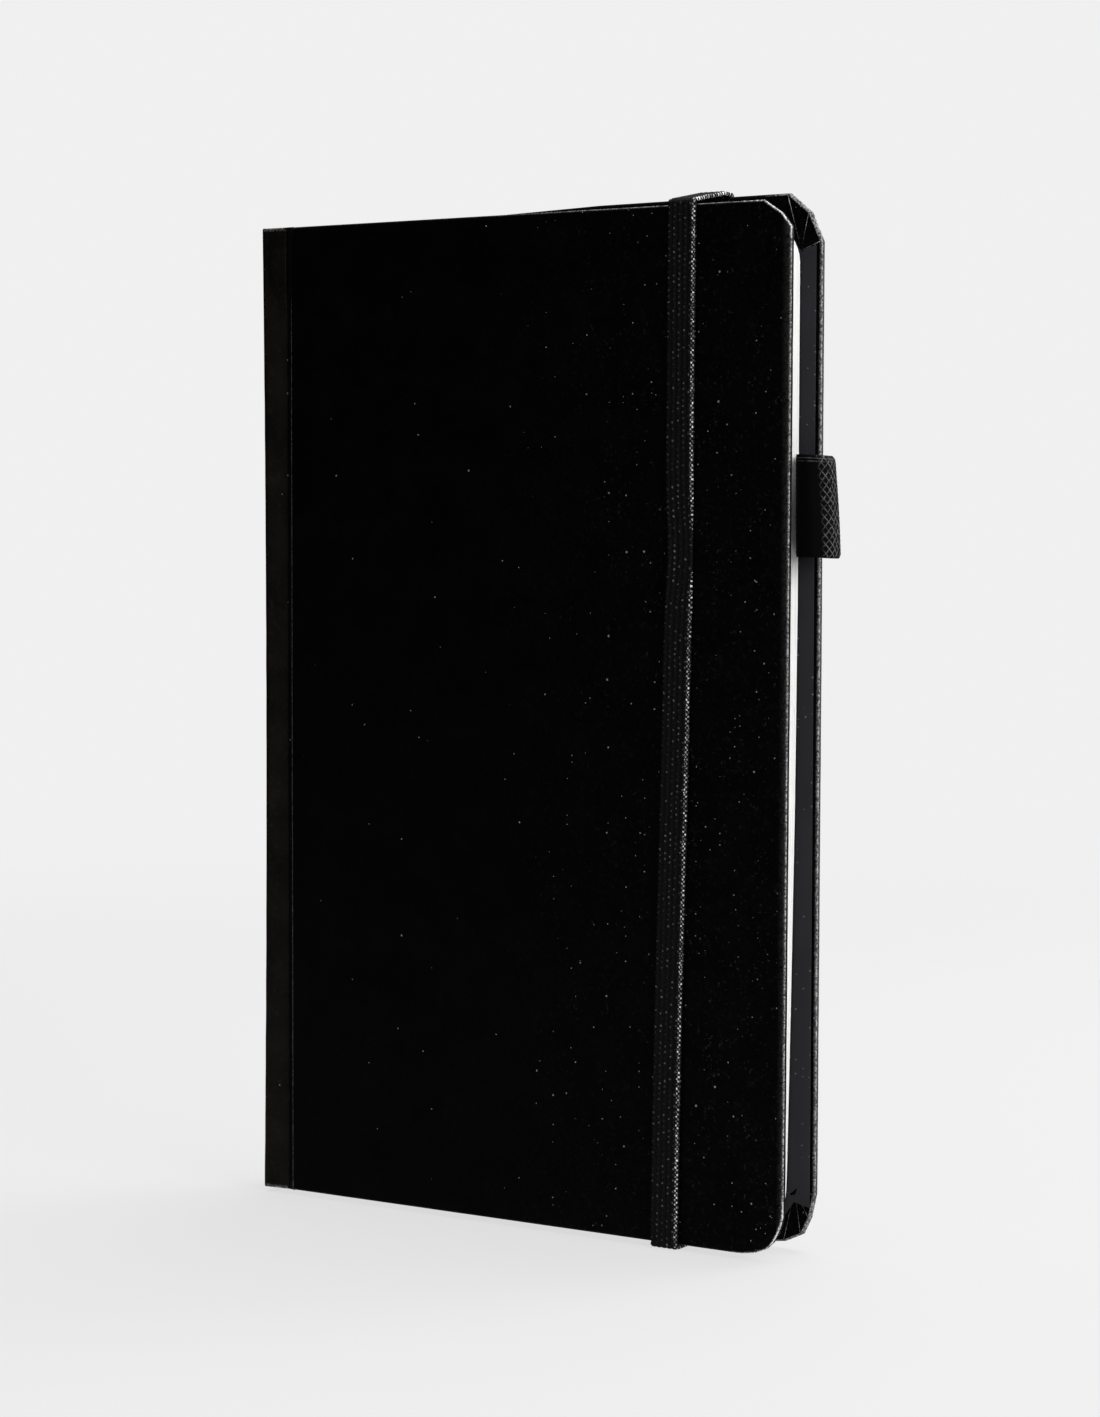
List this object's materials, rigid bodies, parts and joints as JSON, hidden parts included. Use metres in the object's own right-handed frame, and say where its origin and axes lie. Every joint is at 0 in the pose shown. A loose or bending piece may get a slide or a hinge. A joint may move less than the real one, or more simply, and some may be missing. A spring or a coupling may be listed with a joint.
{
  "type": "hardcover sketchbook",
  "caption": "Hardcover sketchbook standing upright: two hinged covers, folded sections of drawing paper, turning leaves, elastic closure band and a pen loop at the fore edge.",
  "frame": {"origin": "middle of the closed sketchbook's bounding box in X and Y, on the surface it stands on", "axes": "+Z from tail to head, +X from the spine to the fore edge, +Y from the front cover to the back cover"},
  "size_m": [0.1374, 0.0166, 0.2146],
  "materials": {
    "cover_skin": "fine-grained black leatherette, satin",
    "grey_board": "pressed grey board, matte",
    "endpaper": "dark blue-grey endpaper, matte",
    "drawing_paper": "smooth white drawing paper, matte",
    "lining_cloth": "open-weave cotton with glue",
    "elastic_webbing": "woven black elastic, matte",
    "loop_webbing": "knitted black elastic, matte"
  },
  "bodies": {
    "block": {"spine_skin": "cover_skin", "spine_board": "grey_board", "spine_lining": "lining_cloth", "front_joint_cloth": "cover_skin", "back_joint_cloth": "cover_skin", "front_endpaper_hinge": "endpaper", "back_endpaper_hinge": "endpaper", "section_1": "drawing_paper", "section_2": "drawing_paper", "section_3": "drawing_paper", "section_4": "drawing_paper", "section_5": "drawing_paper", "section_6": "drawing_paper"},
    "front_cover": {"front_cover_skin": "cover_skin", "front_board": "grey_board", "front_pastedown": "endpaper"},
    "back_cover": {"back_cover_skin": "cover_skin", "back_board": "grey_board", "back_pastedown": "endpaper", "elastic_head_end": "elastic_webbing", "elastic_tail_end": "elastic_webbing", "pen_loop": "loop_webbing"},
    "flyleaf_front": {"front_flyleaf": "endpaper"},
    "page_1": {"leaf_1": "drawing_paper"},
    "page_2": {"leaf_2": "drawing_paper"},
    "page_3": {"leaf_3": "drawing_paper"},
    "flyleaf_back": {"back_flyleaf": "endpaper"},
    "band": {"elastic_band": "elastic_webbing"}
  },
  "joints": [
    {"name": "front_cover_hinge", "type": "hinge", "parent": "block", "child": "front_cover", "pos_m": [-0.0617, -0.00755, 0.1061], "axis": [0, 0, -1], "range_deg": [0, 180], "deforming": ["front_joint_cloth"]},
    {"name": "back_cover_hinge", "type": "hinge", "parent": "block", "child": "back_cover", "pos_m": [-0.0617, 0.00755, 0.1061], "axis": [0, 0, 1], "range_deg": [0, 180], "deforming": ["back_joint_cloth"]},
    {"name": "front_flyleaf_turn", "type": "hinge", "parent": "block", "child": "flyleaf_front", "pos_m": [-0.0617, -0.00755, 0.1061], "axis": [0, 0, -1], "range_deg": [0, 175]},
    {"name": "leaf_1_turn", "type": "hinge", "parent": "block", "child": "page_1", "pos_m": [-0.0617, -0.00755, 0.1061], "axis": [0, 0, -1], "range_deg": [0, 165]},
    {"name": "leaf_2_turn", "type": "hinge", "parent": "block", "child": "page_2", "pos_m": [-0.0617, -0.00755, 0.1061], "axis": [0, 0, -1], "range_deg": [0, 150]},
    {"name": "leaf_3_turn", "type": "hinge", "parent": "block", "child": "page_3", "pos_m": [-0.0617, -0.00755, 0.1061], "axis": [0, 0, -1], "range_deg": [0, 130]},
    {"name": "back_flyleaf_turn", "type": "hinge", "parent": "block", "child": "flyleaf_back", "pos_m": [-0.0617, 0.00755, 0.1061], "axis": [0, 0, 1], "range_deg": [0, 150]},
    {"name": "band_swing", "type": "hinge", "parent": "back_cover", "child": "band", "pos_m": [0.03645, 0, 0.1073], "axis": [0, 0, 1], "range_deg": [0, 180], "deforming": ["elastic_band"]}
  ],
  "couplings": [
    {"joint": "front_flyleaf_turn", "follows": "front_cover_hinge", "ratio": 0.96},
    {"joint": "leaf_1_turn", "follows": "front_cover_hinge", "ratio": 0.9},
    {"joint": "leaf_2_turn", "follows": "front_cover_hinge", "ratio": 0.82},
    {"joint": "leaf_3_turn", "follows": "front_cover_hinge", "ratio": 0.7},
    {"joint": "band_swing", "follows": "front_cover_hinge", "ratio": 1},
    {"joint": "back_flyleaf_turn", "follows": "back_cover_hinge", "ratio": 0.8}
  ]
}
